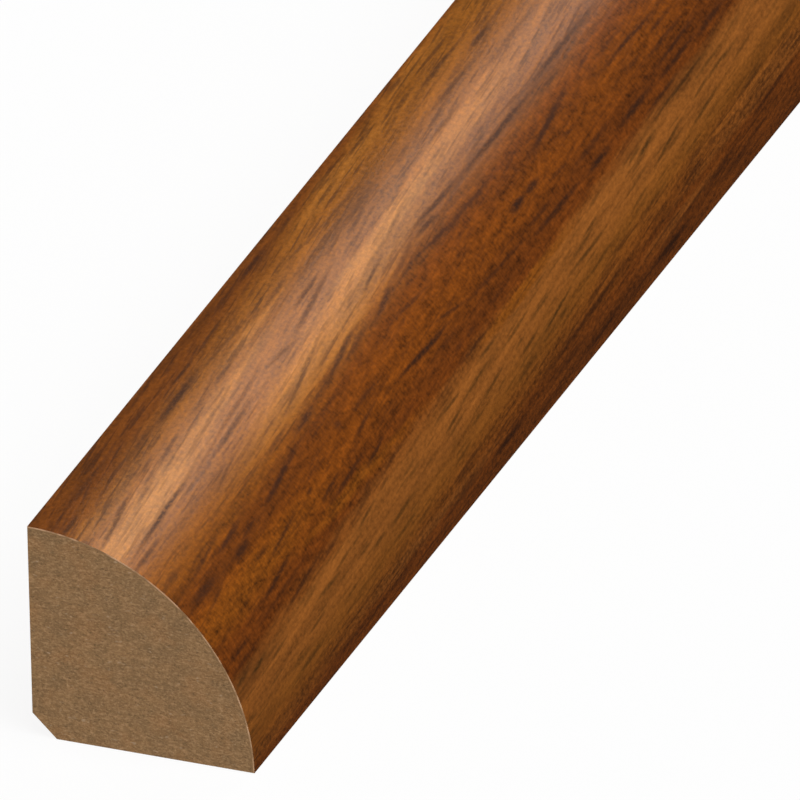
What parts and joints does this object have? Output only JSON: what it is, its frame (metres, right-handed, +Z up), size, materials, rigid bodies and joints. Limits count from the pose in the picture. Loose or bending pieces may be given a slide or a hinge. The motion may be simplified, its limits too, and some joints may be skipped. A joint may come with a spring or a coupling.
{
  "type": "quarter round moulding",
  "caption": "Long fibreboard quarter round trim with a relieved inner corner and a wood-grain printed wrap on its curved face, covering the gap between floor and wall.",
  "frame": {"origin": "on the floor under the middle of the stick, centre of the underside of its box", "axes": "+X along the stick, +Y out of the wall face towards the wall, +Z up from the floor face"},
  "size_m": [2.3876, 0.019, 0.0191],
  "materials": {
    "fibreboard": "matte",
    "decor_print": "satin"
  },
  "bodies": {
    "root": {"fibreboard_core": "fibreboard", "decor_wrap": "decor_print"}
  },
  "joints": []
}
